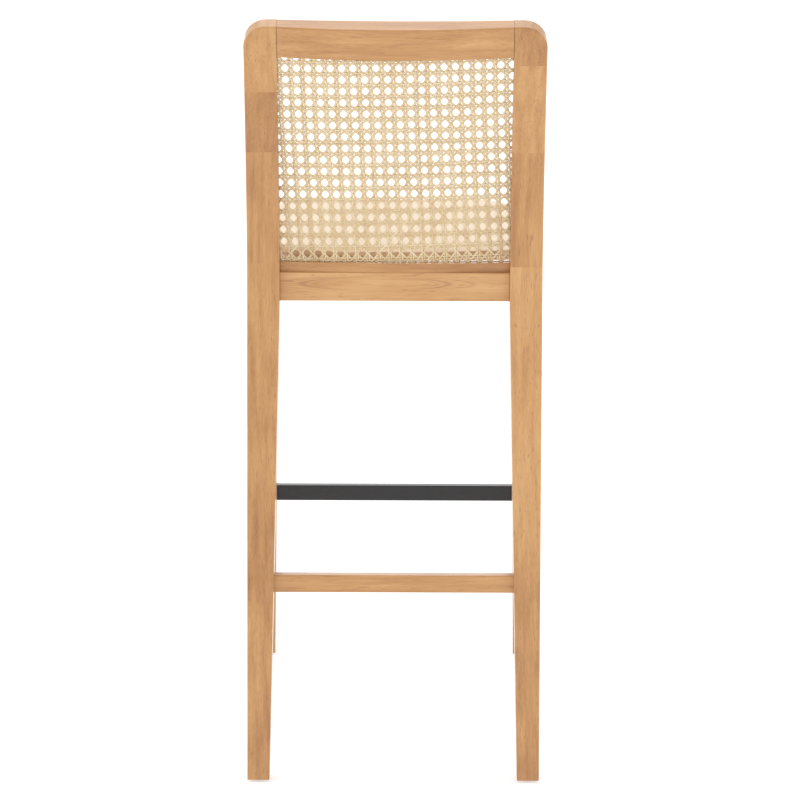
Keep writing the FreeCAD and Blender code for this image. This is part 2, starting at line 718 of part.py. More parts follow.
# ---------------------------------------------------------------- corner blocks and screws
seat_frame = [rear_leg_whole, front_leg_whole, side_rail, rear_rail, front_rail]
block_screws, seat_screws = [], []
block_bottom = block_top - block_height
for name, corner_y, inward in (("corner_block_rear", across_seat.y - rail_half, -1),
                               ("corner_block_front", front_rail_middle.y + rail_half, 1)):
    corner_x = rail_inner_x(corner_y)
    along_side = V(rail_inner_x(corner_y + inward * block_leg), corner_y + inward * block_leg, 0)
    along_end = V(corner_x - block_leg, corner_y, 0)
    corner = V(corner_x, corner_y, 0)
    beyond = V(rail_half, -inward * rail_half, 0)
    rise = Z_AXIS * block_bottom
    block = polygon([along_end + rise, corner + rise, along_side + rise]).extrude(
        Z_AXIS * block_height)
    for piece in seat_frame:
        block = block.cut(piece)
    block = biggest(block)
    slope_middle = (along_side + along_end) * 0.5
    middle_z = Z_AXIS * (block_bottom + block_height / 2)
    slope = along_end - along_side
    side_screw_at = along_side + slope * block_screw_share
    end_screw_at = along_end - slope * block_screw_share
    for at, direction in ((side_screw_at, X_AXIS), (end_screw_at, V(0, -inward, 0))):
        head = at + middle_z + direction * block_screw_recess
        block_screws.append(screw(head, direction, block_screw_length))
        hole = screw_hole(head, direction, block_screw_length, block_leg / 2)
        block, side_rail = block.cut(hole), side_rail.cut(hole)
        rear_rail, front_rail = rear_rail.cut(hole), front_rail.cut(hole)
    seat_screw_at = corner + (slope_middle - corner) * seat_screw_share
    head = V(seat_screw_at.x, seat_screw_at.y, block_bottom + inner_arris)
    seat_screws.append(screw(head, Z_AXIS, seat_screw_length))
    hole = screw_hole(head, Z_AXIS, seat_screw_length, inner_arris + 1)
    for both in (hole, mirrored(hole)):
        seat_panel = seat_panel.cut(both)
        solids["dust_cover"] = solids["dust_cover"].cut(both)
        solids["seat_cover"] = solids["seat_cover"].cut(both)
    both_sides(name, biggest(block.cut(hole)))

rear_rail = rear_rail.common(mirrored(rear_rail))
front_rail = front_rail.common(mirrored(front_rail))
solids["seat_panel"] = seat_panel
solids["corner_block_screws"] = Part.makeCompound(block_screws + [mirrored(s) for s in block_screws])
solids["seat_screws"] = Part.makeCompound(seat_screws + [mirrored(s) for s in seat_screws])

# ---------------------------------------------------------------- glides
nails = []
for name, x, y in (
        ("glide_rear", rear_width / 2 + rear_splay - foot_width / 2,
         knee_y + heel_kick - foot_width / 2),
        ("glide_front", front_width / 2 - foot_width / 2, front_face + foot_width / 2)):
    at = V(x, y, 0)
    r = glide_diameter / 2
    outline = [V(0, 0, 0), V(r - glide_rim, 0, 0), V(r, 0, glide_rim), V(r, 0, glide_height),
               V(0, 0, glide_height), V(0, 0, 0)]
    glide = Part.Face(Part.makePolygon(outline)).revolve(ORIGIN, Z_AXIS, 360)
    glide.translate(at)
    nail_start = at + Z_AXIS * (glide_height / 2)
    nail = rod(nail_diameter, nail_start, nail_start + Z_AXIS * nail_length)
    nail_room = rod(nail_diameter + fit_gap, nail_start,
                    nail_start + Z_AXIS * (nail_length + hole_end_gap))
    both_sides(name, glide.cut(nail))
    nails += [nail, mirrored(nail)]
    if name == "glide_rear":
        rear_leg = rear_leg.cut(nail_room)
    else:
        front_leg = front_leg.cut(nail_room)
solids["glide_nails"] = Part.makeCompound(nails)

# ---------------------------------------------------------------- the rest of the frame
both_sides("rear_leg", biggest(rear_leg))
both_sides("front_leg", biggest(front_leg))
both_sides("side_seat_rail", biggest(side_rail))
both_sides("side_stretcher", side_stretcher)
solids["top_rail"] = top_rail
solids["low_back_rail"] = low_rail
solids["rear_seat_rail"] = rear_rail
solids["front_seat_rail"] = front_rail
solids["rear_stretcher"] = rear_stretcher

os.makedirs("parts", exist_ok=True)
for node, shape in solids.items():
    print(f"{node:24s} solids {len(shape.Solids)} valid {shape.isValid()} volume {shape.Volume:.0f}")
    shape.exportStep(f"parts/{node}.step")
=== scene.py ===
import math
import random

import bmesh
import bpy
from mathutils import Matrix, Vector, noise
from mathutils.bvhtree import BVHTree
from mathutils.geometry import convex_hull_2d


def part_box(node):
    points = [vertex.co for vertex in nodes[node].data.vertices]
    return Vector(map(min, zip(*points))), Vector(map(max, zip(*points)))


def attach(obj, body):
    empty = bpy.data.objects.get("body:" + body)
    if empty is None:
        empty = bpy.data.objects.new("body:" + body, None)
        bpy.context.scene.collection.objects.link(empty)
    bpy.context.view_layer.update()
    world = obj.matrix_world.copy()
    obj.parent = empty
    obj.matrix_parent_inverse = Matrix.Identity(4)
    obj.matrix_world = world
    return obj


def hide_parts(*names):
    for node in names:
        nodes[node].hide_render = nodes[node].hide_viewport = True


# Looks of the cane-back bar stool: lacquered honey wood, woven cane, cream seat, black footrest.
# Metres, in the CAD's own frame: the sitter faces -Y and the sitter's left hand is +X.

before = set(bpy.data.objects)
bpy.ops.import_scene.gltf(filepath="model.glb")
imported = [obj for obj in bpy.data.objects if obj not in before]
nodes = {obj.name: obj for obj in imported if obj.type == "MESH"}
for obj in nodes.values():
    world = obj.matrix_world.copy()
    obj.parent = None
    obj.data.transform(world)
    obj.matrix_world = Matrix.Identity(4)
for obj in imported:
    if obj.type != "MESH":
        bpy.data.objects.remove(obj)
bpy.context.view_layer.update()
MM = 0.001


# ---------------------------------------------------------------- node helpers
def node(tree, kind, inputs=None, **settings):
    """A new shader node. Inputs that are sockets are linked, the others are set."""
    made = tree.nodes.new(kind)
    for key, value in settings.items():
        setattr(made, key, value)
    for key, value in (inputs or {}).items():
        if isinstance(value, bpy.types.NodeSocket):
            tree.links.new(value, made.inputs[key])
        else:
            made.inputs[key].default_value = value
    return made


def maths(tree, operation, a, b=0.0, clamp=False):
    return node(tree, "ShaderNodeMath", {0: a, 1: b}, operation=operation,
                use_clamp=clamp).outputs[0]


def rescaled(tree, value, low, high, to_low=0.0, to_high=1.0):
    """The value's range low to high, as to_low to to_high, clamped."""
    return node(tree, "ShaderNodeMapRange", {
        "Value": value, "From Min": low, "From Max": high,
        "To Min": to_low, "To Max": to_high}).outputs["Result"]


def ramp(tree, value, stops, interpolation="LINEAR"):
    """A colour ramp through (position, colour) stops. A number is a grey."""
    made = node(tree, "ShaderNodeValToRGB", {"Fac": value})
    elements = made.color_ramp.elements
    made.color_ramp.interpolation = interpolation
    while len(elements) < len(stops):
        elements.new(1.0)
    for element, (position, colour) in zip(elements, stops):
        element.position = position
        element.color = (colour,) * 3 + (1,) if isinstance(colour, float) else (*colour, 1)
    return made.outputs["Color"]


def blended(tree, share, a, b):
    """Colour a turned towards colour b."""
    made = node(tree, "ShaderNodeMix", data_type="RGBA")
    for key, value in ((0, share), (6, a), (7, b)):
        if isinstance(value, bpy.types.NodeSocket):
            tree.links.new(value, made.inputs[key])
        else:
            made.inputs[key].default_value = value if key == 0 else (*value, 1)
    return made.outputs[2]


def speckle(tree, where, scale, detail=2.0, roughness=0.5):
    return node(tree, "ShaderNodeTexNoise", {
        "Vector": where, "Scale": scale, "Detail": detail,
        "Roughness": roughness}).outputs["Fac"]


def placed(tree, where, location=(0, 0, 0), rotation=(0, 0, 0), scale=(1, 1, 1)):
    return node(tree, "ShaderNodeMapping", {
        "Vector": where, "Location": location, "Rotation": rotation,
        "Scale": scale}).outputs["Vector"]


def start_material(name):
    material = bpy.data.materials.new(name)
    material.use_nodes = True
    tree = material.node_tree
    shader = tree.nodes["Principled BSDF"]
    where = node(tree, "ShaderNodeTexCoord").outputs["Object"]
    return material, tree, shader, where


def finish_material(tree, shader, colour, roughness, height=None, depth=0.0002, strength=0.5):
    """Links what varies over the surface to the shader."""
    tree.links.new(colour, shader.inputs["Base Color"])
    tree.links.new(roughness, shader.inputs["Roughness"])
    if height is not None:
        bump = node(tree, "ShaderNodeBump", {
            "Height": height, "Distance": depth, "Strength": strength})
        tree.links.new(bump.outputs["Normal"], shader.inputs["Normal"])


# ---------------------------------------------------------------- wood
GRAIN_TURN = {"X": (0, -math.pi / 2, 0), "Y": (math.pi / 2, 0, 0), "Z": (0, 0, 0)}
TONE_SPAN = 1.12             # the height that tones and fades count as 1
MEAN_SHIFT = 0.885           # brings the sum of a board's parts to the middle of the wood ramp
RING_WANDER = 4.5            # rings that the slow noise moves a line of late wood by
RING_DEPTH = 0.12
PLAIN = ((0.0, 0.5),)
SEAM = 0.163                 # from the middle of the stool to the joints of its posts and rails
LATE_WOOD = (0.33, 0.14, 0.05)
PORE = (0.28, 0.12, 0.04)
GAP = (0.10, 0.042, 0.018)
WOOD_RAMP = (
    (0.0, (0.28, 0.102, 0.025)), (0.3, (0.433, 0.196, 0.055)), (0.55, (0.550, 0.276, 0.090)),
    (0.8, (0.645, 0.358, 0.137)), (1.0, (0.73, 0.44, 0.20)))


def along_grain(tree, where, grain, seed, tone):
    """Coordinates with the grain along Z. Each board and glued-up length has a place of its own."""
    turned = placed(tree, where, rotation=GRAIN_TURN[grain])
    shift = node(tree, "ShaderNodeCombineXYZ", {
        "X": maths(tree, "MULTIPLY", tone, 3.1), "Y": maths(tree, "MULTIPLY", tone, 1.7)})
    moved = node(tree, "ShaderNodeVectorMath", {
        0: turned, 1: shift.outputs[0]}, operation="ADD").outputs[0]
    return placed(tree, moved, location=(0.37 * seed, 0.83 * seed, 0.59 * seed))


def late_wood(tree, grained, wander, spacing):
    """Growth rings, as lines that darken slowly and end at once."""
    flat = node(tree, "ShaderNodeSeparateXYZ", {0: grained})
    across = maths(tree, "ADD", flat.outputs["X"], maths(tree, "MULTIPLY", flat.outputs["Y"], 0.45))
    rings = maths(tree, "ADD", maths(tree, "DIVIDE", across, spacing),
                  maths(tree, "MULTIPLY", wander, RING_WANDER))
    place = maths(tree, "FRACT", rings)
    late = maths(tree, "POWER", place, 4.0)
    return maths(tree, "MULTIPLY", late, rescaled(tree, place, 1.0, 0.9))


def with_figure(tree, colour, split, wander, figure):
    """The colour with long pointed ovals of late wood, one in another."""
    x, z, half_length, half_height = figure
    reach = maths(tree, "DIVIDE", maths(tree, "ABSOLUTE", maths(
        tree, "SUBTRACT", split.outputs["X"], x)), half_length)
    rise = maths(tree, "DIVIDE", maths(tree, "SUBTRACT", split.outputs["Z"], z), half_height)
    oval = maths(tree, "ADD", reach, maths(tree, "MULTIPLY", rise, rise))
    oval = maths(tree, "ADD", oval, maths(tree, "MULTIPLY", wander, 0.5))
    points = rescaled(tree, reach, 0.35, 0.8, 0.25, 1.0)
    for place, width, depth in ((1.25, 0.09, 0.6), (1.08, 0.06, 0.3), (1.6, 0.07, 0.3)):
        away = maths(tree, "ABSOLUTE", maths(tree, "SUBTRACT", oval, place))
        line = maths(tree, "MULTIPLY", rescaled(tree, away, 0.0, width, depth, 0.0), points)
        colour = blended(tree, line, colour, LATE_WOOD)
    return colour


def with_seam(tree, colour, across, seam):
    """The colour with a thin dark gap where the board meets the posts, fainter on its top."""
    shade = rescaled(tree, maths(tree, "ABSOLUTE", across), seam - 0.0011, seam - 0.0002, 0.0, 0.8)
    facing = node(tree, "ShaderNodeSeparateXYZ", {
        0: node(tree, "ShaderNodeNewGeometry").outputs["Normal"]}).outputs["Z"]
    shade = maths(tree, "MULTIPLY", shade, rescaled(tree, facing, 0.2, 0.7, 1.0, 0.2))
    return blended(tree, shade, colour, GAP)


def wood(name, grain, seed, tones=PLAIN, fade=PLAIN, ring_spacing=0.016, seam=None, figure=None):
    """Lacquered honey wood. The grain runs along an axis. Tones gives the glued-up lengths of
    timber as (share of TONE_SPAN, tone from 0 dark to 1 light), and fade a slow change of tone.
    A figure is a long pointed oval of late wood, as (x, z, half length, half height)."""
    material, tree, shader, where = start_material(name)
    split = node(tree, "ShaderNodeSeparateXYZ", {0: where})
    height_share = maths(tree, "DIVIDE", split.outputs["Z"], TONE_SPAN)
    tone = maths(tree, "ADD", ramp(tree, height_share, tones, "CONSTANT"), 0.0)
    slow_tone = maths(tree, "SUBTRACT", ramp(tree, height_share, fade), 0.5)
    grained = along_grain(tree, where, grain, seed, tone)
    wander = speckle(tree, placed(tree, grained, scale=(9, 9, 2.2)), 1.0, 1.5)
    late = late_wood(tree, grained, wander, ring_spacing)

    # fibres, broad stripes, clouds and short dark pores, all drawn out along the grain
    fibre = speckle(tree, placed(tree, grained, scale=(1, 1, 0.035)), 900, 3, 0.6)
    stripe = speckle(tree, placed(tree, grained, scale=(1, 1, 0.06)), 110, 2)
    cloud = speckle(tree, placed(tree, grained, scale=(1, 1, 0.5)), 16, 2)
    pores = speckle(tree, placed(tree, grained, scale=(1, 1, 0.07)), 620, 1)
    pores = rescaled(tree, pores, 0.655, 0.74)

    value = maths(tree, "MULTIPLY", fibre, 0.5)
    for part, weight in ((stripe, 0.6), (cloud, 0.5), (tone, 1.0), (slow_tone, 1.0)):
        value = maths(tree, "ADD", value, maths(tree, "MULTIPLY", part, weight))
    value = maths(tree, "SUBTRACT", value, maths(tree, "MULTIPLY", late, RING_DEPTH))
    value = maths(tree, "SUBTRACT", value, MEAN_SHIFT, clamp=True)
    colour = ramp(tree, value, WOOD_RAMP)
    colour = blended(tree, maths(tree, "MULTIPLY", pores, 0.55), colour, PORE)
    if figure:
        colour = with_figure(tree, colour, split, wander, figure)
    if seam:
        colour = with_seam(tree, colour, split.outputs["X"], seam)
    roughness = rescaled(tree, fibre, 0.25, 0.75, 0.36, 0.52)
    finish_material(tree, shader, colour, roughness, maths(tree, "SUBTRACT", fibre, pores),
                    0.0003, 0.35)
    shader.inputs["Coat Weight"].default_value = 0.7
    shader.inputs["Coat Roughness"].default_value = 0.16
    shader.inputs["Specular IOR Level"].default_value = 0.5
    return material


# ---------------------------------------------------------------- other materials
def cane_material():
    """Peeled rattan: a glossy straw skin with fine fibres along each strand, and painted shade along
    its sides.
    """
    material, tree, shader, where = start_material("woven_cane")
    strip = node(tree, "ShaderNodeUVMap", uv_map="strand").outputs["UV"]
    tone = node(tree, "ShaderNodeAttribute", attribute_name="tone").outputs["Fac"]
    across = node(tree, "ShaderNodeSeparateXYZ", {0: strip}).outputs["X"]
    fibres = speckle(tree, placed(tree, strip, scale=(30, 220, 1)), 1.0, 2)
    blotch = speckle(tree, where, 55, 3)
    value = maths(tree, "ADD", maths(tree, "MULTIPLY", fibres, 0.35),
                  maths(tree, "MULTIPLY", blotch, 0.5))
    value = maths(tree, "ADD", value, maths(tree, "MULTIPLY", tone, 0.55))
    value = maths(tree, "SUBTRACT", value, 0.2, clamp=True)
    colour = ramp(tree, value, (
        (0.0, (0.52, 0.33, 0.15)), (0.35, (0.70, 0.52, 0.285)),
        (0.65, (0.79, 0.64, 0.405)), (1.0, (0.86, 0.75, 0.55))))
    # each strand turns dark brown towards its two sides: painted shade for the occlusion where
    # strands meet and cross
    off_middle = maths(tree, "ABSOLUTE", maths(tree, "SUBTRACT", across, 0.5))
    painted_edge_shade = rescaled(tree, off_middle, 0.3, 0.5, 0.0, 0.6)
    colour = blended(tree, painted_edge_shade, colour, (0.42, 0.25, 0.11))
    roughness = rescaled(tree, fibres, 0.3, 0.7, 0.3, 0.45)
    finish_material(tree, shader, colour, roughness, fibres, 0.0001, 0.4)
    shader.inputs["Coat Weight"].default_value = 0.2
    shader.inputs["Coat Roughness"].default_value = 0.3
    return material


def fabric_material():
    """Cream plain-weave upholstery cloth."""
    material, tree, shader, where = start_material("cream_weave")
    wobble = node(tree, "ShaderNodeTexNoise", {"Vector": where, "Scale": 60.0})
    nudged = node(tree, "ShaderNodeVectorMath", {
        0: where, 1: node(tree, "ShaderNodeVectorMath", {
            0: wobble.outputs["Color"], "Scale": 0.0006}, operation="SCALE").outputs[0]},
        operation="ADD").outputs[0]
    threads = []
    for direction in ("X", "Y"):
        wave = node(tree, "ShaderNodeTexWave", {
            "Vector": nudged, "Scale": 300.0, "Distortion": 0.6, "Detail": 1.0},
            wave_type="BANDS", bands_direction=direction)
        threads.append(wave.outputs["Fac"])
    weave = maths(tree, "MAXIMUM", *threads)
    slubs = speckle(tree, placed(tree, where, scale=(1, 0.08, 1)), 420, 2)
    slubs_across = speckle(tree, placed(tree, where, scale=(0.08, 1, 1)), 420, 2)
    mottle = speckle(tree, where, 24, 3)
    value = maths(tree, "ADD", maths(tree, "MULTIPLY", weave, 0.4),
                  maths(tree, "MULTIPLY", maths(tree, "ADD", slubs, slubs_across), 0.3))
    value = maths(tree, "ADD", value, maths(tree, "MULTIPLY", mottle, 0.25))
    colour = ramp(tree, value, (
        (0.25, (0.65, 0.48, 0.34)), (0.6, (0.80, 0.635, 0.47)), (0.95, (0.88, 0.74, 0.585))))
    roughness = rescaled(tree, mottle, 0.3, 0.7, 0.78, 0.92)
    finish_material(tree, shader, colour, roughness, weave, 0.0004, 0.6)
    shader.inputs["Sheen Weight"].default_value = 0.25
    shader.inputs["Sheen Roughness"].default_value = 0.5
    return material


def layered_material(name, dark, light, ply):
    """Plywood: layers one ply thick that stack up in Z, their grain crossing from one to the next."""
    material, tree, shader, where = start_material(name)
    split = node(tree, "ShaderNodeSeparateXYZ", {0: where})
    layer = maths(tree, "MODULO", maths(tree, "FLOOR", maths(
        tree, "DIVIDE", split.outputs["Z"], ply)), 2.0)
    one = speckle(tree, placed(tree, where, scale=(0.04, 1, 1)), 500, 3, 0.6)
    other = speckle(tree, placed(tree, where, scale=(1, 0.04, 1)), 500, 3, 0.6)
    grain = node(tree, "ShaderNodeMix", {0: layer, 2: one, 3: other}).outputs[0]
    value = maths(tree, "ADD", grain, maths(tree, "MULTIPLY", layer, -0.18))
    colour = ramp(tree, value, ((0.2, dark), (0.75, light)))
    finish_material(tree, shader, colour, rescaled(tree, grain, 0.3, 0.7, 0.6, 0.8),
                    grain, 0.0003, 0.4)
    return material


def grained_material(name, dark, light, scale, rough_low, rough_high, metallic=0.0, bump=0.3):
    """A fine-grained finish, for coated steel, zinc, moulded plastic, reed, foam and cloth."""
    material, tree, shader, where = start_material(name)
    fine = speckle(tree, where, scale, 3, 0.6)
    broad = speckle(tree, where, scale / 18, 3)
    value = maths(tree, "ADD", maths(tree, "MULTIPLY", fine, 0.6),
                  maths(tree, "MULTIPLY", broad, 0.4))
    colour = ramp(tree, value, ((0.3, dark), (0.7, light)))
    roughness = rescaled(tree, value, 0.3, 0.7, rough_low, rough_high)
    finish_material(tree, shader, colour, roughness, fine, 0.0001, bump)
    shader.inputs["Metallic"].default_value = metallic
    return material


cane = cane_material()
fabric = fabric_material()
plywood = layered_material("birch_plywood", (0.42, 0.25, 0.12), (0.74, 0.56, 0.36), 0.0015)
dowel_wood = wood("beech_dowel", "X", 5.0)
black_steel = grained_material("black_powder_coat", (0.010, 0.010, 0.0105),
                               (0.020, 0.020, 0.021), 2600, 0.26, 0.38)
zinc = grained_material("zinc_plate", (0.44, 0.45, 0.47), (0.66, 0.67, 0.68), 1400, 0.25, 0.42, 1.0)
glide_plastic = grained_material("glide_nylon", (0.030, 0.024, 0.020), (0.058, 0.046, 0.038),
                                 1800, 0.35, 0.5)
reed = grained_material("split_reed", (0.55, 0.37, 0.19), (0.80, 0.62, 0.38), 700, 0.45, 0.6)
foam = grained_material("seat_foam_skin", (0.62, 0.50, 0.33), (0.84, 0.74, 0.56), 900, 0.85, 0.95,
                        bump=0.8)
dust_cloth = grained_material("dust_cloth", (0.012, 0.012, 0.013), (0.045, 0.045, 0.047),
                              1500, 0.8, 0.95, bump=0.8)

# the rear legs' glued-up lengths of timber, from the floor up, and the slow changes along them
left_post = wood("wood_post_left", "Z", 1.0,
                 ((0.0, 0.52), (0.6735, 0.46), (0.8195, 0.31), (0.8955, 0.57)),
                 ((0.0, 0.44), (0.12, 0.5), (0.2, 0.44), (0.3, 0.45), (0.36, 0.54), (0.63, 0.56)))
right_post = wood("wood_post_right", "Z", 2.0,
                  ((0.0, 0.70), (0.669, 0.54), (0.8198, 0.61), (0.930, 0.47)),
                  ((0.0, 0.27), (0.13, 0.32), (0.3, 0.34), (0.36, 0.52), (0.63, 0.54)))
front_post_left = wood("wood_front_left", "Z", 3.0, ((0.0, 0.5), (0.33, 0.38), (0.52, 0.58)))
front_post_right = wood("wood_front_right", "Z", 4.0, ((0.0, 0.42), (0.27, 0.56), (0.47, 0.48)))
crest_wood = wood("wood_crest", "X", 6.0, ((0.0, 0.08),), seam=SEAM)
low_rail_wood = wood("wood_low_rail", "X", 7.5, ((0.0, 0.20),), seam=SEAM)
apron_wood = wood("wood_apron", "X", 8.0, ((0.0, 0.42),), seam=SEAM,
                  figure=(0.025, 0.725, 0.102, 0.012))
front_rail_wood = wood("wood_front_rail", "X", 9.0, ((0.0, 0.5),))
stretcher_wood = wood("wood_stretcher", "X", 10.0, ((0.0, 0.48),), ring_spacing=0.006)
side_wood_left = wood("wood_side_left", "Y", 11.0, ((0.0, 0.52),))
side_wood_right = wood("wood_side_right", "Y", 12.0, ((0.0, 0.44),))
block_wood = wood("wood_blocks", "X", 13.0, ((0.0, 0.55),))

finishes = {
    "rear_leg_left": left_post, "rear_leg_right": right_post,
    "front_leg_left": front_post_left, "front_leg_right": front_post_right,
    "top_rail": crest_wood, "low_back_rail": low_rail_wood, "rear_seat_rail": apron_wood,
    "front_seat_rail": front_rail_wood, "rear_stretcher": stretcher_wood,
    "side_seat_rail_left": side_wood_left, "side_seat_rail_right": side_wood_right,
    "side_stretcher_left": side_wood_right, "side_stretcher_right": side_wood_left,
    "corner_block_rear_left": block_wood, "corner_block_rear_right": block_wood,
    "corner_block_front_left": block_wood, "corner_block_front_right": block_wood,
    "bolt_plug_left": front_post_left, "bolt_plug_right": front_post_right,
    "top_rail_dowels": dowel_wood, "low_rail_dowels": dowel_wood, "seat_rail_dowels": dowel_wood,
    "footrest_bar": black_steel, "footrest_end_plugs": black_steel,
    "footrest_bolts": zinc, "footrest_washers": zinc, "glide_nails": zinc,
    "corner_block_screws": zinc, "seat_screws": zinc,
    "glide_rear_left": glide_plastic, "glide_rear_right": glide_plastic,
    "glide_front_left": glide_plastic, "glide_front_right": glide_plastic,
    "cane_panel": cane, "cane_spline_left": reed, "cane_spline_right": reed,
    "cane_spline_top": reed, "cane_spline_bottom": reed,
    "seat_panel": plywood, "seat_cover": fabric, "seat_foam": foam, "dust_cover": dust_cloth,
}
for name, carried in nodes.items():
    carried.data.materials.clear()
    carried.data.materials.append(finishes[name])


# ---------------------------------------------------------------- mesh helpers
def new_piece(name, verts, faces, material, smooth=True):
    mesh = bpy.data.meshes.new(name)
    mesh.from_pydata(verts, [], faces)
    mesh.materials.append(material)
    mesh.polygons.foreach_set("use_smooth", [smooth] * len(mesh.polygons))
    mesh.update()
    piece = bpy.data.objects.new(name, mesh)
    bpy.context.collection.objects.link(piece)
    return piece


def applied(piece):
    """The piece with its modifiers made part of its mesh."""
    evaluated = piece.evaluated_get(bpy.context.evaluated_depsgraph_get())
    mesh = bpy.data.meshes.new_from_object(evaluated)
    piece.modifiers.clear()
    piece.data = mesh
    return piece


# ---------------------------------------------------------------- woven cane
COLUMN_PITCH = 15.65 * MM    # five-eighths webbing, stretched a little up the back
ROW_PITCH = 17.25 * MM
PAIR_HALF = 1.75 * MM        # half the spacing of two strands that run side by side
STRAND_WIDTH = 2.8 * MM
STRAND_THICKNESS = 0.5 * MM
NODE_RISE = 0.55 * MM        # how far uprights and crossers pass over and under
SLANT_RISE = 0.6 * MM
ROW_TILT = math.radians(1.32)
COLUMN_TILT = math.radians(2.05)
COLUMN_BEND = 0.079          # how much the columns curve sideways, per metre squared
ROW_BEND = 0.046
ROW_STRETCH = 0.5            # the lowest rows are pulled apart, per metre cubed
HALF_WIDTH = 0.1665          # strands end inside the slots of the posts
DRIFT = 0.6 * MM             # how far hand weaving lets the strands wander, by a slow noise
DRIFT_SCALE = 14             # Blender seeds this noise by the clock, so each run drifts its own way

panel = nodes["cane_panel"]
panel_tree = BVHTree.FromObject(panel, bpy.context.evaluated_depsgraph_get())
panel_low, panel_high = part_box("cane_panel")
PANEL_HALF = 1.0 * MM


def on_panel(x, z):
    """The point of the panel's middle surface at x and z, and the way out of its back."""
    hit, normal, _, _ = panel_tree.ray_cast(Vector((x, panel_high.y + 0.05, z)), Vector((0, -1, 0)))
    return (hit - normal * PANEL_HALF, normal) if hit else (None, None)


heights, runs = [panel_low.z + 2 * MM], [0.0]
last, _ = on_panel(0, heights[0])
while heights[-1] < panel_high.z - 5 * MM:
    here, _ = on_panel(0, heights[-1] + 2 * MM)
    heights.append(heights[-1] + 2 * MM)
    runs.append(runs[-1] + (here - last).length)
    last = here
RUN = runs[-1]


def height_at(run):
    """Z of the middle of the panel a distance along it."""
    step = min(max(int(run / RUN * (len(runs) - 1)), 0), len(runs) - 2)
    while step > 0 and runs[step] > run:
        step -= 1
    while step < len(runs) - 2 and runs[step + 1] < run:
        step += 1
    share = (run - runs[step]) / (runs[step + 1] - runs[step])
    return heights[step] + (heights[step + 1] - heights[step]) * share


HOLE_X = -7.0 * MM           # a hole near the middle of the back
HOLE_RUN = RUN - 103.9 * MM


def from_weave(p, q):
    """Place on the panel of a point p along the rows and q up the columns of the weave."""
    x = HOLE_X - p * math.cos(ROW_TILT) + q * math.sin(COLUMN_TILT) - COLUMN_BEND * q * q
    run = HOLE_RUN + p * math.sin(ROW_TILT) + q * math.cos(COLUMN_TILT)
    run += ROW_BEND * p * p + ROW_STRETCH * q ** 3
    drift = noise.noise_vector(Vector((x * DRIFT_SCALE, run * DRIFT_SCALE, 3.0))) * DRIFT
    return x + drift.x, run + drift.y


def weave_strand(mesh_data, path, tone):
    """Adds one flat strand along (p, q, rise) points to the mesh data, cut at the panel's edge."""
    points = []
    for p, q, rise in path:
        x, run = from_weave(p, q)
        if abs(x) > HALF_WIDTH or not 0 <= run <= RUN:
            if len(points) > 1:
                break
            points = []
            continue
        place, normal = on_panel(x, height_at(run))
        if place:
            points.append((place + normal * rise, normal, p, q))
    if len(points) < 3:
        return
    verts, faces, strips, tones = mesh_data
    start = len(verts)
    half, thin = STRAND_WIDTH / 2, STRAND_THICKNESS / 2
    section = ((-1, 0.0), (-0.6, 0.8), (0, 1.0), (0.6, 0.8), (1, 0.0), (0.5, -0.8), (-0.5, -0.8))
    across_at = (0.0, 0.2, 0.5, 0.8, 1.0, 0.75, 0.25)
    for i, (place, normal, p, q) in enumerate(points):
        ahead = points[min(i + 1, len(points) - 1)][0] - points[max(i - 1, 0)][0]
        side = ahead.cross(normal).normalized()
        for (a, b), share in zip(section, across_at):
            verts.append(place + side * (half * a) + normal * (thin * b))
            strips.append((share, (p + q) * 2))
            tones.append(tone)
    size = len(section)
    for i in range(len(points) - 1):
        for j in range(size):
            k = (j + 1) % size
            a, b = start + i * size, start + (i + 1) * size
            faces.append((a + j, a + k, b + k, b + j))
    faces.append(tuple(range(start, start + size)))
    end = start + size * (len(points) - 1)
    faces.append(tuple(reversed(range(end, end + size))))


def cane_piece(name, strands):
    """One piece made of many strands, that stands for the plain panel."""
    draw = random.Random(name)
    mesh_data = ([], [], [], [])
    for path in strands:
        weave_strand(mesh_data, path, draw.uniform(0.15, 0.85))
    verts, faces, strips, tones = mesh_data
    piece = new_piece(name, verts, faces, cane)
    attribute = piece.data.attributes.new("tone", "FLOAT", "POINT")
    attribute.data.foreach_set("value", tones)
    layer = piece.data.uv_layers.new(name="strand")
    for loop in piece.data.loops:
        layer.data[loop.index].uv = strips[loop.vertex_index]
    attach(piece, "root")
    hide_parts("cane_panel")
    return piece


def straight_stops(side, pitch):
    """(offset from a node, rise) along an upright or crosser, over one pitch."""
    g, swell = PAIR_HALF, 1.5 * MM
    return ((-g - swell, 0.75 * side), (-g, side), (0.0, 0.0), (g, -side),
            (g + swell, -0.75 * side), (pitch / 2, 0.0))


def straight_strand(line, side, upright):
    """An upright of column line, or a crosser of row line. side picks which of the pair."""
    pitch, along = (COLUMN_PITCH, ROW_PITCH) if upright else (ROW_PITCH, COLUMN_PITCH)
    fixed = (line - 0.5) * pitch + side * PAIR_HALF
    path = []
    for cell in range(-16, 18):
        for offset, rise in straight_stops(-side if upright else side, along):
            moving = (cell - 0.5) * along + offset
            height = rise * NODE_RISE
            path.append((fixed, moving, height) if upright else (moving, fixed, height))
    return path


def slanted_strand(line, rising):
    """A diagonal that passes the middles of the sides of the cells."""
    path = []
    for step in range(-128, 136):
        cell = step / 8.0
        height = SLANT_RISE * math.cos(math.pi * step / 4.0) * (-1 if rising else 1)
        up = line + cell if rising else line - cell
        path.append(((cell - 0.5) * COLUMN_PITCH, up * ROW_PITCH, height))
    return path


cells = range(-15, 17)
uprights = [straight_strand(c, side, True) for c in cells for side in (-1, 1)]
crossers = [straight_strand(c, side, False) for c in cells for side in (-1, 1)]
slants = [slanted_strand(line, rising) for line in range(-32, 33) for rising in (True, False)]
cane_piece("cane_uprights", uprights)
cane_piece("cane_crossers", crossers)
cane_piece("cane_diagonals", slants)

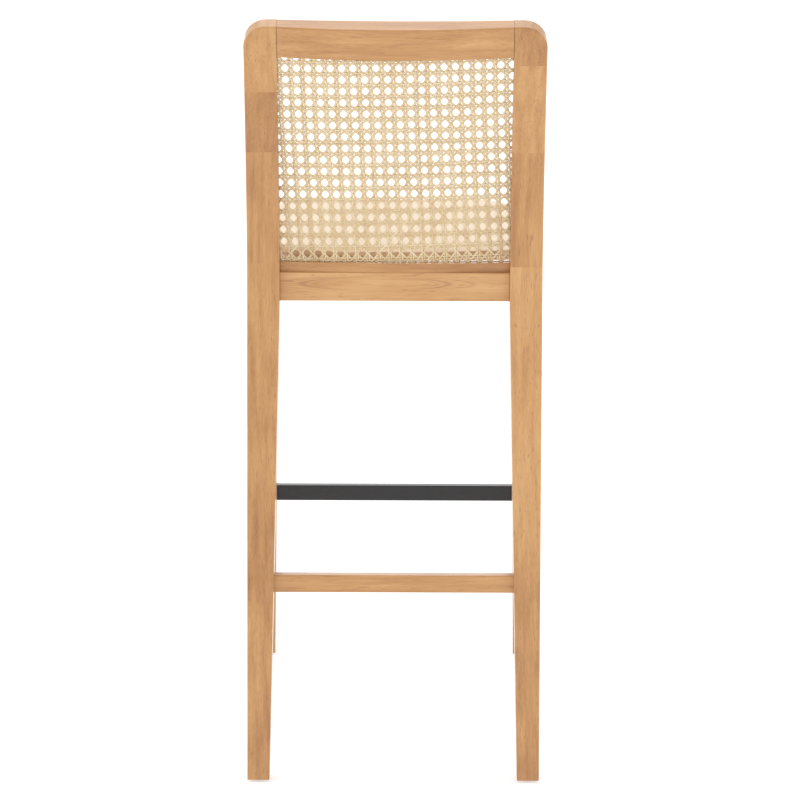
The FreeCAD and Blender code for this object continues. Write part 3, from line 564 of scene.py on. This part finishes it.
# ---------------------------------------------------------------- seat cushion
OUTLINE_POINTS = 240
cover = nodes["seat_cover"]
cover_low, cover_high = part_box("seat_cover")
board_low, board_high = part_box("seat_panel")
rail_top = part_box("rear_seat_rail")[1].z
flat_points = [Vector((v.co.x, v.co.y)) for v in cover.data.vertices]
hull = [flat_points[i] for i in convex_hull_2d(flat_points)]


def resampled(loop, count):
    """Evenly spaced points round a closed outline."""
    steps = [(loop[(i + 1) % len(loop)] - loop[i]).length for i in range(len(loop))]
    total, points, i, walked = sum(steps), [], 0, 0.0
    for n in range(count):
        target = total * n / count
        while walked + steps[i] < target:
            walked += steps[i]
            i += 1
        share = (target - walked) / steps[i]
        points.append(loop[i].lerp(loop[(i + 1) % len(loop)], share))
    return points


outline = resampled(hull, OUTLINE_POINTS)


def inset(loop, distance):
    """The outline moved inwards all round."""
    moved = []
    for i, point in enumerate(loop):
        along = loop[(i + 1) % len(loop)] - loop[i - 1]
        inward = Vector((-along.y, along.x)).normalized()
        moved.append(point + inward * distance)
    return moved


middle = sum(outline, Vector((0, 0))) / len(outline)
if (inset(outline, 0.01)[0] - middle).length > (outline[0] - middle).length:
    outline.reverse()


DRAW_REACH = 100 * MM        # how far from the back edge the outline is drawn forwards
CORNER_EXTRA = 1.3           # how much further the two rear corners go, as a share


def drawn_in(loop, distance):
    """The outline with its back edge drawn forwards, further at the two rear corners."""
    back, half = max(p.y for p in loop), max(p.x for p in loop)
    moved = []
    for p in loop:
        near = max(0.0, 1 - (back - p.y) / DRAW_REACH)
        corner = min(abs(p.x) / half, 1.0) ** 4
        moved.append(Vector((p.x, p.y - near * distance * (1 + CORNER_EXTRA * corner))))
    return moved


def swept(name, profile, material, closed):
    """A ring swept round the seat's outline. The profile is (inset, z, draw of its back) points."""
    verts, faces = [], []
    for distance, z, draw in profile:
        verts += [(p.x, p.y, z) for p in inset(drawn_in(outline, draw), distance)]
    count = len(outline)
    for row in range(len(profile) if closed else len(profile) - 1):
        a, b = row * count, ((row + 1) % len(profile)) * count
        for i in range(count):
            j = (i + 1) % count
            faces.append((a + i, a + j, b + j, b + i))
    if not closed:
        faces.append(tuple(reversed(range(count))))
        faces.append(tuple(range((len(profile) - 1) * count, len(profile) * count)))
    piece = new_piece(name, verts, faces, material)
    mesh = bmesh.new()
    mesh.from_mesh(piece.data)
    bmesh.ops.recalc_face_normals(mesh, faces=mesh.faces)
    mesh.to_mesh(piece.data)
    mesh.free()
    return piece


# The pad starts a little small. Its back edge overhangs a deep undercut, dark behind the cane.
crown = cover_high.z
start_top = crown - 6 * MM
BACK_DRAW = 18 * MM
UNDERCUT_DRAW = 40 * MM
cushion = swept("seat_cushion", (
    (2 * MM, board_high.z, UNDERCUT_DRAW), (5 * MM, board_high.z + 6 * MM, UNDERCUT_DRAW),
    (6 * MM, rail_top, UNDERCUT_DRAW), (5 * MM, rail_top + 7 * MM, 36 * MM),
    (4 * MM, rail_top + 11 * MM, 24 * MM), (4 * MM, rail_top + 13 * MM, BACK_DRAW),
    (8 * MM, start_top - 1 * MM, BACK_DRAW), (18 * MM, start_top, BACK_DRAW),
    (36 * MM, start_top + 1.5 * MM, BACK_DRAW), (70 * MM, start_top + 3 * MM, BACK_DRAW)),
    fabric, False)
remesh = cushion.modifiers.new("even", "REMESH")
remesh.mode = "VOXEL"
remesh.voxel_size = 5 * MM
applied(cushion)


HELD_BAND = 3 * MM           # over this height the hold on the cloth fades out
CLOTH_STEPS = 20


def inflated(piece, held_below, most):
    """Lets air pressure round the piece out, and keeps each point within a distance of its start."""
    starts = [v.co.copy() for v in piece.data.vertices]
    group = piece.vertex_groups.new(name="held")
    for v in piece.data.vertices:
        share = min(max((held_below + HELD_BAND - v.co.z) / HELD_BAND, 0.0), 1.0)
        group.add([v.index], share, "REPLACE")
    cloth = piece.modifiers.new("cloth", "CLOTH")
    cloth.settings.use_pressure = True
    cloth.settings.uniform_pressure_force = 4.0
    cloth.settings.effector_weights.gravity = 0.0
    cloth.settings.vertex_group_mass = "held"
    cloth.settings.tension_stiffness = 25
    cloth.settings.compression_stiffness = 25
    cloth.settings.bending_stiffness = 2.0
    cloth.settings.quality = 5
    cloth.collision_settings.use_collision = False
    scene = bpy.context.scene
    for step in range(1, CLOTH_STEPS + 1):
        scene.frame_set(step)
    applied(piece)
    for v, begin in zip(piece.data.vertices, starts):
        moved = v.co - begin
        if moved.length > most:
            v.co = begin + moved * (most / moved.length)
    scene.frame_set(1)


inflated(cushion, rail_top + 8 * MM, 7 * MM)
top_now = max(v.co.z for v in cushion.data.vertices)
for v in cushion.data.vertices:
    if v.co.z > rail_top:
        v.co.z = rail_top + (v.co.z - rail_top) * (crown - rail_top) / (top_now - rail_top)
smooth = cushion.modifiers.new("smooth", "SUBSURF")
smooth.levels = smooth.render_levels = 1
applied(cushion)
cushion.data.materials.clear()
cushion.data.materials.append(fabric)
cushion.data.polygons.foreach_set("use_smooth", [True] * len(cushion.data.polygons))
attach(cushion, "root")
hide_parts("seat_cover", "seat_foam")

# The cloth's flat part: up the board's edge, a ledge on its top and a fold under its bottom.
BOARD_GAP = 0.1 * MM
FOLD_WIDTH = 26 * MM
LEDGE_WIDTH = 34 * MM
tuck = swept("seat_cover_tuck", (
    (0.15 * MM, board_high.z + 1 * MM, 0), (0.15 * MM, cover_low.z + 2.2 * MM, 0),
    (0.8 * MM, cover_low.z + 0.6 * MM, 0), (2.4 * MM, cover_low.z, 0),
    (FOLD_WIDTH, cover_low.z, 0), (FOLD_WIDTH, board_low.z - BOARD_GAP, 0),
    (1.25 * MM, board_low.z - BOARD_GAP, 0), (1.25 * MM, board_high.z + BOARD_GAP, 0),
    (LEDGE_WIDTH, board_high.z + BOARD_GAP, 0), (LEDGE_WIDTH, board_high.z + 1.4 * MM, 0),
    (1.4 * MM, board_high.z + 1.4 * MM, 0)),
    fabric, True)
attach(tuck, "root")
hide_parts("seat_cover")

# ---------------------------------------------------------------- floor, light and camera
floor_material, floor_tree, floor_shader, floor_where = start_material("pale_floor")
mottle = speckle(floor_tree, floor_where, 3.0, 3)
finish_material(floor_tree, floor_shader, ramp(floor_tree, mottle, (
    (0.3, (0.60, 0.60, 0.60)), (0.7, (0.63, 0.63, 0.63)))),
    rescaled(floor_tree, mottle, 0.3, 0.7, 0.8, 0.9))
floor_shader.inputs["Emission Color"].default_value = (1, 1, 1, 1)
floor_shader.inputs["Emission Strength"].default_value = 0.5
FLOOR_HALF = 30.0
floor = new_piece("floor", [(-FLOOR_HALF, -FLOOR_HALF, 0), (FLOOR_HALF, -FLOOR_HALF, 0),
                            (FLOOR_HALF, FLOOR_HALF, 0), (-FLOOR_HALF, FLOOR_HALF, 0)],
                  [(0, 1, 2, 3)], floor_material)

scene = bpy.context.scene
scene.view_settings.view_transform = "Standard"
world = bpy.data.worlds.new("studio")
world.use_nodes = True
surround = world.node_tree.nodes["Background"]
surround.inputs["Color"].default_value = (1.0, 1.0, 1.0, 1)
surround.inputs["Strength"].default_value = 0.84
scene.world = world


def soft_box(name, place, aim, size, power):
    lamp = bpy.data.lights.new(name, "AREA")
    lamp.shape = "SQUARE"
    lamp.size = size
    lamp.energy = power
    made = bpy.data.objects.new(name, lamp)
    made.location = place
    made.rotation_euler = (Vector(aim) - Vector(place)).to_track_quat("-Z", "Y").to_euler()
    bpy.context.collection.objects.link(made)


sky = bpy.data.lights.new("overhead", "SUN")
sky.energy = 0.75
sky.angle = math.radians(60)
overhead = bpy.data.objects.new("overhead", sky)
overhead.rotation_euler = (math.radians(6), math.radians(4), 0)
bpy.context.collection.objects.link(overhead)
soft_box("high_front", (0.0, -3.0, 4.3), (0, 0, 0.9), 3.0, 22)
soft_box("front_wall", (0.0, -6.5, 2.3), (0, 0, 2.3), 4.0, 58)
soft_box("side_left", (3.0, 0.6, 1.5), (0, 0, 0.7), 1.6, 26)
soft_box("side_right", (-3.0, 0.6, 1.5), (0, 0, 0.7), 1.6, 20)

# behind the stool and above it, looking down at its back
CAMERA_PLACE = (-0.008, 4.5497, 1.7762)
CAMERA_DOWN = 15.68          # degrees
CAMERA_ROLL = 0.21
camera_data = bpy.data.cameras.new("camera")
camera_data.sensor_width = 36.0
camera_data.lens = 142.07
camera_data.clip_end = 100.0
camera = bpy.data.objects.new("camera", camera_data)
camera.matrix_world = (Matrix.Translation(CAMERA_PLACE)
                       @ Matrix.Rotation(math.pi, 4, "Z")
                       @ Matrix.Rotation(math.radians(90 - CAMERA_DOWN), 4, "X")
                       @ Matrix.Rotation(math.radians(CAMERA_ROLL), 4, "Z"))
bpy.context.collection.objects.link(camera)
scene.camera = camera
